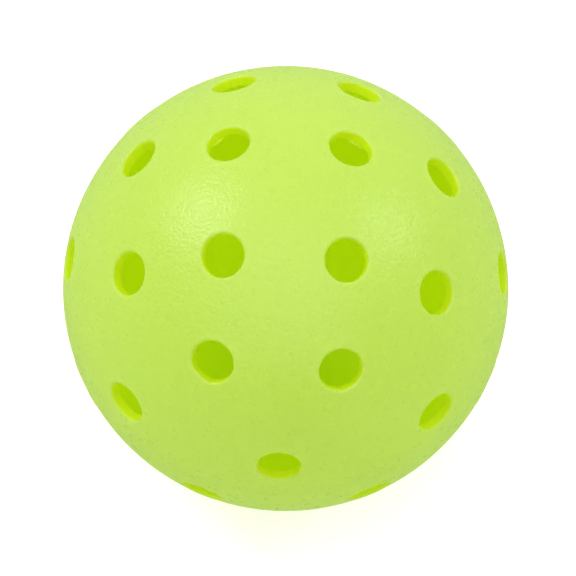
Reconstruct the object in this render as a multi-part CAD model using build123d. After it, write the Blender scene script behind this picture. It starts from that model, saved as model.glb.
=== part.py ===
# Outdoor pickleball: a hollow perforated ball welded together from two moulded half shells.
# Millimetres. Origin at the centre of the ball, +Z along the moulds' axis, weld seam in the XY plane.
import os
from math import cos, pi, radians, sin

from build123d import *

# Shell
ball_diameter = 74.0
wall = 1.85

# Holes, in rings round the mould axis. Each ring has a number of holes and, for either half, its latitude away
# from the seam and the azimuth of its first hole, in degrees. The halves are welded with their rings turned
# against each other, and the lower half's last ring is drilled a little nearer to the seam.
hole_diameter = 7.0
rim_round_outside = 0.45
rim_round_inside = 0.2
hole_rings = [
    {"count": 4, "upper": (67.6, 44.6), "lower": (67.6, 44.6)},
    {"count": 8, "upper": (42.9, 20.6), "lower": (42.9, 3.9)},
    {"count": 8, "upper": (14.1, 0.0), "lower": (12.0, 24.5)},
]

# Step joint at the seam: the lower half's tongue stands inside the upper half's skirt
tongue_height = 1.2
tongue_thickness = 0.9
socket_depth = 1.5
seam_bevel = 0.05
bead_radius = 0.45

# A sphere's surface has an edge from pole to seam, which is kept at an azimuth that misses every hole
plain_meridian = {"upper": 9.3, "lower": 15.2}

# Worked out
ball_radius = ball_diameter / 2
inner_radius = ball_radius - wall
mid_radius = ball_radius - wall / 2
hole_radius = hole_diameter / 2
tongue_radius = inner_radius + tongue_thickness


def hole_directions(side):
    """Unit vectors from the ball's centre through the holes of one half, with that half's pole up."""
    directions = []
    for ring in hole_rings:
        latitude, first = ring[side]
        lat = radians(latitude)
        for i in range(ring["count"]):
            az = radians(first + 360 / ring["count"] * i)
            directions.append(Vector(cos(lat) * cos(az), cos(lat) * sin(az), sin(lat)))
    return directions


def turned_ring(corners):
    """Solid ring from corners given as (radius, height), turned once round the mould axis."""
    return revolve(Plane.XZ * make_face(Polyline(corners, close=True)), Axis.Z, 360)


def square_ring(r_low, r_high, z_low, z_high):
    """Ring of square section, which makes and cuts the steps at the seam."""
    return turned_ring([(r_low, z_low), (r_high, z_low), (r_high, z_high), (r_low, z_high)])


def plain_half(side):
    """Half of the hollow ball with no holes, pole up, and a fine bevel round the outside of its rim."""
    ball = Rot(Z=plain_meridian[side]) * (Sphere(ball_radius) - Sphere(inner_radius))
    half = ball & (Pos(0, 0, ball_radius) * Box(3 * ball_radius, 3 * ball_radius, ball_diameter))
    bevel = [
        (ball_radius - seam_bevel, 0),
        (ball_radius + seam_bevel, 0),
        (ball_radius + seam_bevel, 2 * seam_bevel),
    ]
    return half - turned_ring(bevel)


def hole_rims(shell, outside):
    """The round edges where the holes meet the outer or the inner face of the wall."""
    rims = []
    for edge in shell.edges():
        round_edge = edge.is_closed and abs(edge.length - 2 * pi * hole_radius) < 0.05
        if round_edge and (edge.center(CenterOf.MASS).length > mid_radius - wall / 4) == outside:
            rims.append(edge)
    return rims


def drilled(shell, side):
    """The holes, cut straight at the ball's centre, with both of their rims rounded."""
    drills = []
    for direction in hole_directions(side):
        drills.append(Plane(origin=direction * mid_radius, z_dir=direction) * Cylinder(hole_radius, 4 * wall))
    shell = shell - drills
    shell = fillet(hole_rims(shell, True), rim_round_outside)
    return fillet(hole_rims(shell, False), rim_round_inside)


def upper_half():
    """Half with the socket: the skirt's outer part reaches the seam, its inner part stops short."""
    socket = square_ring(inner_radius - wall, tongue_radius, -wall, socket_depth)
    return drilled(plain_half("upper") - socket, "upper")


def lower_half():
    """Half with the tongue, modelled pole up and then mirrored to below the seam."""
    tongue = square_ring(inner_radius, tongue_radius, -tongue_height, wall / 2) - Sphere(inner_radius)
    return mirror(drilled(plain_half("lower") + tongue, "lower"), Plane.XY)


def weld_bead(upper, lower):
    """Set plastic between the tongue's top and the socket's shoulder, with a low roll inside."""
    bead = square_ring(inner_radius, tongue_radius, tongue_height, socket_depth)
    bead_height = (tongue_height + socket_depth) / 2
    roll = revolve(Plane.XZ * (Pos(inner_radius, bead_height) * Circle(bead_radius)), Axis.Z, 360)
    return bead + roll - upper - lower


def main():
    os.makedirs("parts", exist_ok=True)
    upper = upper_half()
    lower = lower_half()
    bead = weld_bead(upper, lower)
    for name, solid in [("upper_half_shell", upper), ("lower_half_shell", lower), ("weld_bead", bead)]:
        print(name, round(solid.volume, 1), "mm3,", len(solid.solids()), "solid")
        export_step(solid, f"parts/{name}.step")


main()
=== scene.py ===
import math

import bpy
import numpy as np
from mathutils import Matrix, Vector, noise
from mathutils.geometry import delaunay_2d_cdt


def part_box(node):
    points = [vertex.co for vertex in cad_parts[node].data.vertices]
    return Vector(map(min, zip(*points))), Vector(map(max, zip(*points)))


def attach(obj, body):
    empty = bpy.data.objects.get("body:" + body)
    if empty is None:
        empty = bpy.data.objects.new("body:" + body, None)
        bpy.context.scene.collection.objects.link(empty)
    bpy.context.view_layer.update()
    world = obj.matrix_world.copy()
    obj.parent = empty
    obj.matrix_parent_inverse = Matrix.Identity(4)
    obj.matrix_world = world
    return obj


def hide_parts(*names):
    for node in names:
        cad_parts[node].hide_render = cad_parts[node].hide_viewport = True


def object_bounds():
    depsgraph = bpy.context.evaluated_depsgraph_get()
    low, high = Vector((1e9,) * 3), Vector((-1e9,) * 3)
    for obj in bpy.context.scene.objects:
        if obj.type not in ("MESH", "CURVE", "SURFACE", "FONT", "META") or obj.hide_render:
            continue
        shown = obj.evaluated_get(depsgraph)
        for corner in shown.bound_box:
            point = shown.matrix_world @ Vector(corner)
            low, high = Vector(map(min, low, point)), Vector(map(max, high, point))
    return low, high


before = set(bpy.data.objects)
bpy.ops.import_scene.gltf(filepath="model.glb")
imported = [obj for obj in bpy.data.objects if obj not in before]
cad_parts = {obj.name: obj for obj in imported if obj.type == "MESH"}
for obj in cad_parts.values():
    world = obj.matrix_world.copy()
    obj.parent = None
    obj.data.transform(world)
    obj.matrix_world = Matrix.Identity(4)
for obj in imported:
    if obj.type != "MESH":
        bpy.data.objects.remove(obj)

mm = 0.001
scene = bpy.context.scene
cadLow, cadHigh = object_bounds()        # box of the design as it was packed
ballRadius = (cadHigh.x - cadLow.x) / 2


def hexLinear(code):
    # sRGB hex to linear RGBA
    parts = [int(code[i:i + 2], 16) / 255 for i in (0, 2, 4)]
    return (*[c / 12.92 if c <= 0.04045 else ((c + 0.055) / 1.055) ** 2.4 for c in parts], 1)


def addNode(tree, kind, settings=None, links=None):
    # one node, its settings, and what its inputs take
    node = tree.nodes.new(kind)
    for key, value in (settings or {}).items():
        if isinstance(key, int) or key in node.inputs:
            node.inputs[key].default_value = value
        else:
            setattr(node, key, value)
    for key, source in (links or {}).items():
        tree.links.new(source, node.inputs[key])
    return node


def newMaterial(name):
    # a material with an empty node tree
    material = bpy.data.materials.new(name)
    material.use_nodes = True
    material.node_tree.nodes.clear()
    return material, material.node_tree


def putInScene(name, data):
    holder = bpy.data.objects.new(name, data)
    scene.collection.objects.link(holder)
    return holder


def fromAngles(latitude, azimuth):
    # unit vector from the ball's centre
    lat, az = math.radians(latitude), math.radians(azimuth)
    return np.array([math.cos(lat) * math.cos(az), math.cos(lat) * math.sin(az), math.sin(lat)])


# the hollow ball's two moulded half shells
shell = {
    "wall": 1.85 * mm,
    "holeRadius": 3.5 * mm,
    "rimOutside": 0.45 * mm,        # rounding where a hole meets the outside
    "rimInside": 0.2 * mm,
    # holes in each ring, then its latitude away from the seam and its first hole's azimuth in either half
    "holeRings": [
        (4, (67.6, 44.6), (67.6, 44.6)),
        (8, (42.9, 20.6), (42.9, 3.9)),
        (8, (14.1, 0.0), (12.0, 24.5)),
    ],
    "tongueHeight": 1.2 * mm,
    "tongueThickness": 0.9 * mm,
    "socketDepth": 1.5 * mm,
    "seamBevel": 0.05 * mm,
    "outerSpacing": 0.55 * mm,        # distance between the outer skin's vertices
    "innerSpacing": 0.9 * mm,
    "collarRings": 4,        # round a hole, growing from the rim's fine steps to the skin's own spacing
    "collarGrowth": 1.25,
    "collarThinning": 8,        # fewer vertices in each next ring
    "rimSegments": 72,
    "rimSteps": 6,        # faces across each rounding
    "skinSteps": 4,        # those that have the outer skin's finish
    "boreSteps": 3,
    "seamSegments": 480,
    "wander": [(11 * mm, 0.03 * mm), (3 * mm, 0.008 * mm)],        # size and height of the skin's unevenness
    "lipHeight": 0.08 * mm,        # the trimmed plastic round a hole stands a little proud
    "lipReach": 0.8 * mm,
    "outOfRound": 0.03 * mm,
    "sharpAngle": 40,        # degrees, above which an edge isn't smoothed
    # left by the drill: which hole of the upper half (counted from 0), turn round it in degrees, width, and
    # height into the hole, which is below zero for a nick
    "burrs": [
        (9, 293, 1.5 * mm, 0.2 * mm),
        (9, 262, 0.35 * mm, -0.3 * mm),
        (10, 152, 0.5 * mm, -0.2 * mm),
        (10, 262, 0.4 * mm, 0.14 * mm),
        (10, 285, 0.3 * mm, -0.12 * mm),
        (17, 182, 0.4 * mm, 0.16 * mm),
    ],
}


def halfHoles(half):
    # directions of one half's holes, that half's pole up: half is 0 for the upper and 1 for the lower
    return [fromAngles(ring[half][0], ring[half][1] + 360 / count * i)
            for count, *ring in shell["holeRings"] for i in range(count)]


def fibonacciDome(spacing, radius):
    # evenly spread directions over the upper hemisphere, each with the room it has in a triangular grid
    roomEach = 0.866 * spacing ** 2
    count = int(4 * math.pi * radius ** 2 / roomEach)
    i = np.arange(count)
    z = 1 - (2 * i + 1) / count
    turn = i * math.pi * (3 - math.sqrt(5))
    flat = np.sqrt(1 - z ** 2)
    points = np.stack([flat * np.cos(turn), flat * np.sin(turn), z], 1)
    pastSeam = -0.1        # a little more than the hemisphere, for the tongue, which the skin then trims
    return points[z > pastSeam]


def ringFrame(direction):
    # two directions across a hole's axis
    side = np.cross(direction, [0, 0, 1.0])
    side /= np.linalg.norm(side)
    return side, np.cross(side, direction)


def ringAround(direction, height, radius, segments):
    # circle of points square to a hole's axis
    side, up = ringFrame(direction)
    turns = np.arange(segments) * 2 * math.pi / segments
    return height * direction + radius * (np.outer(np.cos(turns), side) + np.outer(np.sin(turns), up))


def levelRing(height, radius, segments):
    turns = np.arange(segments) * 2 * math.pi / segments
    return np.stack([radius * np.cos(turns), radius * np.sin(turns), np.full(segments, height)], 1)


def skin(holes, radius, mouthAngle, spacing, seamHeight):
    # one spherical skin with its holes left out: points, triangles, each hole's loop and the seam's loop
    segments, seamSegments = shell["rimSegments"], shell["seamSegments"]
    lat = math.asin(seamHeight / radius)
    loops = [ringAround(h, math.cos(mouthAngle), math.sin(mouthAngle), segments) for h in holes]
    seam = levelRing(math.sin(lat), math.cos(lat), seamSegments)
    step = 2 * math.pi * math.sin(mouthAngle) / segments
    collars, reach = [], 0
    for k in range(1, shell["collarRings"] + 1):
        reach += step * shell["collarGrowth"] ** k
        angle = mouthAngle + reach
        count = segments - shell["collarThinning"] * k
        collars += [ringAround(h, math.cos(angle), math.sin(angle), count) for h in holes]
    dome = fibonacciDome(spacing, radius)
    clearOfHoles = math.cos(mouthAngle + reach + 0.6 * spacing / radius)
    clearOfSeam = math.sin(lat) + 0.7 * spacing / radius
    dome = dome[((dome @ holes.T).max(1) < clearOfHoles) & (dome[:, 2] > clearOfSeam)]
    points = np.concatenate([*loops, seam, *collars, dome])
    flat = points[:, :2] / (1 + points[:, 2:3])        # seen from the far pole, which keeps the shapes
    seamStart = len(holes) * segments
    starts = [(j * segments, segments) for j in range(len(holes))] + [(seamStart, seamSegments)]
    edges = [(start + i, start + (i + 1) % count) for start, count in starts for i in range(count)]
    made = delaunay_2d_cdt([Vector(p) for p in flat], edges, [], 0, 1e-9)
    source = np.array([group[0] for group in made[3]])
    triangles = source[np.array(made[2])]
    middles = points[triangles].mean(1)
    middles /= np.linalg.norm(middles, axis=1)[:, None]
    triangles = triangles[(middles @ holes.T).max(1) < math.cos(mouthAngle)]
    *holeLoops, seamLoop = [np.arange(start, start + count) for start, count in starts]
    return points * radius, triangles, holeLoops, seamLoop


def rimProfile():
    # a hole's wall as (height along its axis, distance from it), from the outer skin to the inner skin
    outer, inner = ballRadius, ballRadius - shell["wall"]
    roundOut, roundIn, bore = shell["rimOutside"], shell["rimInside"], shell["holeRadius"]
    outAngle = math.asin((bore + roundOut) / (outer - roundOut))
    inAngle = math.asin((bore + roundIn) / (inner + roundIn))
    outHeight = (outer - roundOut) * math.cos(outAngle)
    inHeight = (inner + roundIn) * math.cos(inAngle)
    steps = shell["rimSteps"]
    profile = []
    for k in range(1, steps + 1):
        turn = math.pi / 2 - outAngle + (math.pi / 2 + outAngle) * k / steps
        profile.append((outHeight + roundOut * math.sin(turn), bore + roundOut + roundOut * math.cos(turn)))
    for k in range(1, shell["boreSteps"]):
        profile.append((outHeight + (inHeight - outHeight) * k / shell["boreSteps"], bore))
    for k in range(steps):
        turn = math.pi + (math.pi / 2 - inAngle) * k / steps
        profile.append((inHeight + roundIn * math.sin(turn), bore + roundIn + roundIn * math.cos(turn)))
    return outAngle, inAngle, profile


def seamProfile(tongue):
    # the rim at the seam as (height, distance from the axis), from the outer skin to the inner skin
    stepRadius = ballRadius - shell["wall"] + shell["tongueThickness"]
    depth = -shell["tongueHeight"] if tongue else shell["socketDepth"]
    profile = [(0, ballRadius - shell["seamBevel"]), (0, stepRadius), (depth, stepRadius)]
    return depth, profile


def bridge(faces, first, second):
    # quads between two loops of the same count
    count = len(first)
    for i in range(count):
        j = (i + 1) % count
        faces.append((first[i], first[j], second[j], second[i]))


def wandered(points):
    # moves points a little in and out, as a moulded skin does
    moved = []
    for p in points:
        out = Vector(p).normalized()
        lift = sum(height * noise.noise(Vector(p) / size) for size, height in shell["wander"])
        moved.append(Vector(p) + out * lift)
    return moved


def drilledRims(points, holes, mouthAngle, burrs):
    # raises the low lip round each hole, puts its wall a little out of round, and adds burrs and nicks
    away = np.linalg.norm(points, axis=1)
    outwards = points / away[:, None]
    facing = outwards @ holes.T
    nearest = facing.argmax(1)
    axis = holes[nearest]
    gap = ballRadius * (np.arccos(np.clip(facing.max(1), -1, 1)) - mouthAngle)
    swell = np.clip(1 - gap / shell["lipReach"], 0, 1)
    nearSkin = np.clip(1 - (ballRadius - away) / shell["rimOutside"], 0, 1)
    lift = shell["lipHeight"] * swell ** 2 * (3 - 2 * swell) * nearSkin
    spoke = points - (points * axis).sum(1)[:, None] * axis
    reach = np.linalg.norm(spoke, axis=1)
    spoke /= np.maximum(reach, 1e-9)[:, None]
    frames = np.array([ringFrame(h) for h in holes])[nearest]
    turn = np.arctan2((spoke * frames[:, 1]).sum(1), (spoke * frames[:, 0]).sum(1))
    oval = np.sin(2 * turn + 1.7 * nearest)        # turned differently from hole to hole
    waves = np.sin(7 * turn + 2.9 * nearest)
    inwards = shell["outOfRound"] * (oval + 0.5 * waves)
    for hole, degrees, width, height in burrs:
        apart = (turn - math.radians(degrees) + math.pi) % (2 * math.pi) - math.pi
        inwards += (nearest == hole) * height * np.exp(-(2 * apart * shell["holeRadius"] / width) ** 2)
    nearWall = np.clip((shell["holeRadius"] + shell["rimOutside"] - reach) / shell["rimOutside"], 0, 1)
    return points + outwards * lift[:, None] - spoke * (inwards * nearWall)[:, None]


def halfShell(name, half):
    # one half: its two skins, the holes' walls and the step at the seam, as one closed mesh
    tongue = half == 1
    skinFinish, smoothInsideWithPaintedShade, weldedFinish = 0, 1, 2        # in the order that the materials are given
    holes = np.array(halfHoles(half))
    outAngle, inAngle, rim = rimProfile()
    inner = ballRadius - shell["wall"]
    depth, seam = seamProfile(tongue)
    outerPoints, outerFaces, outerHoles, outerSeam = skin(
        holes, ballRadius, outAngle, shell["outerSpacing"], shell["seamBevel"])
    innerPoints, innerFaces, innerHoles, innerSeam = skin(
        holes, inner, inAngle, shell["innerSpacing"], depth)
    points = [*outerPoints, *innerPoints]
    shift = len(outerPoints)
    faces = [tuple(t) for t in outerFaces] + [tuple(t + shift) for t in innerFaces]

    def addLoops(rings, first, last):
        # joins the outer skin's loop to the inner skin's through the rings between
        previous = first
        for ring in rings:
            loop = np.arange(len(points), len(points) + len(ring))
            points.extend(ring)
            bridge(faces, previous, loop)
            previous = loop
        bridge(faces, previous, last)

    finish = [skinFinish] * len(outerFaces) + [smoothInsideWithPaintedShade] * len(innerFaces)
    # hole walls past the skin's steps take the inside material, with its painted shade
    rimFinish = [skinFinish if k < shell["skinSteps"] else smoothInsideWithPaintedShade for k in range(len(rim) + 1)]
    for j, direction in enumerate(holes):
        rings = [ringAround(direction, height, radius, shell["rimSegments"]) for height, radius in rim]
        addLoops(rings, outerHoles[j], innerHoles[j] + shift)
        finish += [strip for strip in rimFinish for i in range(shell["rimSegments"])]
    rings = [levelRing(height, radius, shell["seamSegments"]) for height, radius in seam]
    addLoops(rings, outerSeam, innerSeam + shift)
    # the seam's bevel is skin, and the rest of the step is melted together
    finish += [skinFinish] * shell["seamSegments"] + [weldedFinish] * (len(rings) * shell["seamSegments"])

    points = drilledRims(np.array(points), holes, outAngle, [] if tongue else shell["burrs"])
    if tongue:        # this half hangs below the seam
        points[:, 2] *= -1
    points = wandered(points)
    mesh = bpy.data.meshes.new(name)
    mesh.from_pydata(points, [], [tuple(int(i) for i in f) for f in faces])
    mesh.polygons.foreach_set("material_index", finish)
    piece = putInScene(name, mesh)
    bpy.context.view_layer.objects.active = piece
    piece.select_set(True)
    bpy.ops.object.mode_set(mode="EDIT")
    bpy.ops.mesh.select_all(action="SELECT")
    bpy.ops.mesh.normals_make_consistent(inside=False)
    bpy.ops.object.mode_set(mode="OBJECT")
    piece.select_set(False)
    mesh.shade_smooth()
    mesh.set_sharp_from_angle(angle=math.radians(shell["sharpAngle"]))
    print("shell", name, len(mesh.vertices), "vertices", len(mesh.polygons), "faces")
    return piece


# the ring of set plastic that joins the halves
bead = {
    "radius": 0.42 * mm,
    "lumps": 0.12 * mm,        # how much its thickness varies
    "lumpiness": 14,        # higher is shorter lumps
    "sunk": 0.1 * mm,        # its centre is this far into the wall
    "segments": 360,
    "around": 14,
}


def weldBead():
    # a low, uneven roll inside the seam
    low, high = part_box("weld_bead")
    centreRadius = ballRadius - shell["wall"] + bead["sunk"]
    centreHeight = (low.z + high.z) / 2
    points, faces, loops = [], [], []
    for i in range(bead["segments"]):
        turn = 2 * math.pi * i / bead["segments"]
        out = Vector((math.cos(turn), math.sin(turn), 0))
        size = bead["radius"] + bead["lumps"] * (noise.noise(out * bead["lumpiness"]) - 0.4)
        loop = []
        for k in range(bead["around"]):
            a = 2 * math.pi * k / bead["around"]
            loop.append(len(points))
            height = centreHeight + size * math.sin(a)
            points.append(out * (centreRadius + size * math.cos(a)) + Vector((0, 0, height)))
        loops.append(loop)
    for i, loop in enumerate(loops):
        bridge(faces, loops[(i + 1) % len(loops)], loop)
    mesh = bpy.data.meshes.new("weldBeadRing")
    mesh.from_pydata(points, [], faces)
    mesh.shade_smooth()
    piece = putInScene("weldBeadRing", mesh)
    print("weld bead", len(mesh.vertices), "vertices")
    return piece


# Polyethylene, moulded and mass-coloured lime. The eye gets a waxy wall that glows where light comes
# through it, with a fine pebble from the mould and a whitish, soft sheen on the outer skin. That sheen comes
# partly from the shader and partly from painted sheen in the skin colour, whose blue is raised.
outerPolyethylene = {
    # painted sheen: the lime's own colour with its blue raised to stand in for the whitish sheen
    "skin": "DAF46C",
    "skinMottle": "D2F060",
    "through": "E9F71E",        # what light turns to on its way through the wall
    "mottleSize": 14 * mm,
    "pebbleSize": 0.5 * mm,        # the grain looks to be 0.2 to 0.3 mm, and is coarser here so that it shows
    "pebbleHeight": 0.12 * mm,
    "rippleSize": 1.6 * mm,
    "rippleHeight": 0.07 * mm,
    "roughness": 0.28,
    "roughnessSpread": (-0.05, 0.07),        # how it varies with the ripple
    "specular": 1.0,
    "ior": 1.51,
    "seeThrough": 0.45,        # share of the light that goes on through the skin
}
# The same plastic in the holes and inside, smooth from the drill and the mould's core. It is lit by light
# that has been through the wall, and that deeper, more yellow green with almost no blue is painted into its
# colour as painted shade.
innerPolyethylene = {
    **outerPolyethylene,
    # painted shade: the deeper yellow green of light that has come through the wall
    "skin": "E2F520",
    "skinMottle": "DEF21C",
    "pebbleHeight": 0.006 * mm,
    "roughness": 0.5,
    "specular": 0.4,
}


def mouldedPolyethylene(name, values):
    material, tree = newMaterial(name)
    place = addNode(tree, "ShaderNodeTexCoord")
    onPiece = {"Vector": place.outputs["Object"]}
    mottle = addNode(tree, "ShaderNodeTexNoise", {"Scale": 1 / values["mottleSize"], "Detail": 3.0}, onPiece)
    pebble = addNode(tree, "ShaderNodeTexNoise", {
        "Scale": 1 / values["pebbleSize"],
        "Detail": 2.0,
        "Roughness": 0.6,
    }, onPiece)
    ripple = addNode(tree, "ShaderNodeTexNoise", {"Scale": 1 / values["rippleSize"], "Detail": 1.0}, onPiece)
    # the mix node's sockets 6 and 7 take its two colours, and its output 2 gives the mixed one
    colour = addNode(tree, "ShaderNodeMix", {
        "data_type": "RGBA",
        6: hexLinear(values["skin"]),
        7: hexLinear(values["skinMottle"]),
    }, {0: mottle.outputs["Fac"]})
    rippleBump = addNode(tree, "ShaderNodeBump", {"Strength": 1.0, "Distance": values["rippleHeight"]},
                         {"Height": ripple.outputs["Fac"]})
    pebbleBump = addNode(tree, "ShaderNodeBump", {"Strength": 1.0, "Distance": values["pebbleHeight"]},
                         {"Height": pebble.outputs["Fac"], "Normal": rippleBump.outputs["Normal"]})
    least, most = [values["roughness"] + spread for spread in values["roughnessSpread"]]
    sheen = addNode(tree, "ShaderNodeMapRange", {"To Min": least, "To Max": most},
                    {"Value": ripple.outputs["Fac"]})
    surface = addNode(tree, "ShaderNodeBsdfPrincipled", {
        "IOR": values["ior"],
        "Specular IOR Level": values["specular"],
    }, {
        "Base Color": colour.outputs[2],
        "Roughness": sheen.outputs["Result"],
        "Normal": pebbleBump.outputs["Normal"],
    })
    through = addNode(tree, "ShaderNodeBsdfTranslucent", {"Color": hexLinear(values["through"])},
                      {"Normal": rippleBump.outputs["Normal"]})
    wall = addNode(tree, "ShaderNodeMixShader", {"Fac": values["seeThrough"]},
                   {1: surface.outputs["BSDF"], 2: through.outputs["BSDF"]})
    addNode(tree, "ShaderNodeOutputMaterial", {}, {"Surface": wall.outputs["Shader"]})
    return material


def fusedPolyethylene(name):
    # the same plastic where two faces have melted together: light goes on through, so no line shows
    material, tree = newMaterial(name)
    clear = addNode(tree, "ShaderNodeBsdfTransparent", {"Color": (1, 1, 1, 1)})
    addNode(tree, "ShaderNodeOutputMaterial", {}, {"Surface": clear.outputs["BSDF"]})
    return material


# camera: a long lens from above one side, leaning a little
camera = {
    "azimuth": 0.88,        # degrees
    "elevation": 65.86,
    "lean": 1.03,
    "distance": 24,        # ball radii
    "lens": 333.7,        # mm
    "sensor": 36,        # mm
    "clip": (0.01, 50),        # m
    "right": 0.39 * mm,        # how far it stands to the right and above the line to the ball's centre
    "above": 0.065 * mm,
}


def cameraAxes():
    # right, up and towards the camera, which stands on the -Y side at an azimuth of 0
    back = Vector(fromAngles(camera["elevation"], camera["azimuth"] - 90))
    level = Vector(fromAngles(0, camera["azimuth"]))
    upright = back.cross(level)
    lean = math.radians(camera["lean"])
    right = level * math.cos(lean) + upright * math.sin(lean)
    return right, back.cross(right), back


def addCamera():
    right, up, back = cameraAxes()
    data = bpy.data.cameras.new("Camera")
    data.sensor_width = camera["sensor"]
    data.lens = camera["lens"]
    data.clip_start, data.clip_end = camera["clip"]
    holder = putInScene("Camera", data)
    place = back * camera["distance"] * ballRadius + right * camera["right"] + up * camera["above"]
    holder.matrix_world = Matrix.Translation(place) @ Matrix((right, up, back)).transposed().to_4x4()
    scene.camera = holder
    print("camera", camera["lens"], "mm lens")


# soft studio light: where each lamp stands as (right, up, towards the camera), its size and its power
studio = {
    # name, direction, distance m, size m, watts
    "lamps": [
        ("keySoftbox", (-0.63, 0.575, 0.52), 0.9, 0.24, 1.8),
        ("sideSoftbox", (0.76, 0.45, 0.465), 0.9, 0.2, 1.0),
        ("frontSoftbox", (0.0, 0.0, 1.0), 1.2, 2.0, 7.2),
    ],
    "roomLight": 0.6,
    "roomTilt": 0.6,        # how much brighter it is at the top of the view, and dimmer at the bottom
    "floorColour": "F4F4F2",
    "floorRoughness": 0.9,
    "floorGlow": 0.4,
    "floorSize": 6.0,        # m
}


def addStudio():
    right, up, back = cameraAxes()
    for name, (x, y, z), distance, size, power in studio["lamps"]:
        data = bpy.data.lights.new(name, "AREA")
        data.shape = "DISK"
        data.size = size
        data.energy = power
        lamp = putInScene(name, data)
        direction = (right * x + up * y + back * z).normalized()
        lamp.location = direction * distance
        lamp.rotation_mode = "QUATERNION"
        lamp.rotation_quaternion = direction.to_track_quat("Z", "Y")
    world = bpy.data.worlds.new("Room")
    world.use_nodes = True
    tree = world.node_tree
    tree.nodes.clear()
    where = addNode(tree, "ShaderNodeTexCoord")
    towardsTop = addNode(tree, "ShaderNodeVectorMath", {"operation": "DOT_PRODUCT", 1: tuple(up)},
                         {0: where.outputs["Generated"]})
    strength = addNode(tree, "ShaderNodeMapRange", {
        "From Min": -1.0,
        "From Max": 1.0,
        "To Min": studio["roomLight"] * (1 - studio["roomTilt"]),
        "To Max": studio["roomLight"] * (1 + studio["roomTilt"]),
    }, {"Value": towardsTop.outputs["Value"]})
    room = addNode(tree, "ShaderNodeBackground", {"Color": (1, 1, 1, 1)},
                   {"Strength": strength.outputs["Result"]})
    addNode(tree, "ShaderNodeOutputWorld", {}, {"Surface": room.outputs["Background"]})
    scene.world = world
    reach = studio["floorSize"] / 2
    corners = [(x * reach, y * reach, cadLow.z) for x, y in [(-1, -1), (1, -1), (1, 1), (-1, 1)]]
    mesh = bpy.data.meshes.new("StudioFloor")
    mesh.from_pydata(corners, [], [(0, 1, 2, 3)])
    floor = putInScene("StudioFloor", mesh)
    material = bpy.data.materials.new("paintedFloor")
    material.use_nodes = True
    shader = material.node_tree.nodes["Principled BSDF"]
    shader.inputs["Base Color"].default_value = hexLinear(studio["floorColour"])
    shader.inputs["Roughness"].default_value = studio["floorRoughness"]
    shader.inputs["Emission Color"].default_value = (1, 1, 1, 1)
    shader.inputs["Emission Strength"].default_value = studio["floorGlow"]
    mesh.materials.append(material)
    floor.visible_glossy = False        # a matt floor, kept out of the ball's sheen
    scene.view_settings.view_transform = "Standard"
    print("studio", len(studio["lamps"]), "lamps")


addCamera()
addStudio()
outer = mouldedPolyethylene("limePolyethyleneMoulded", outerPolyethylene)
inner = mouldedPolyethylene("limePolyethyleneInside", innerPolyethylene)
fused = fusedPolyethylene("limePolyethyleneWelded")
print("polyethylene", [material.name for material in (outer, inner, fused)])
halves = [("upperHalfShell", "upper_half_shell"), ("lowerHalfShell", "lower_half_shell")]
for half, (name, node) in enumerate(halves):
    piece = halfShell(name, half)
    for material in (outer, inner, fused):
        piece.data.materials.append(material)
    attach(piece, "root")
    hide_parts(node)
ring = weldBead()
# the bead takes the inside material, with its painted shade
ring.data.materials.append(inner)
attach(ring, "root")
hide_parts("weld_bead")
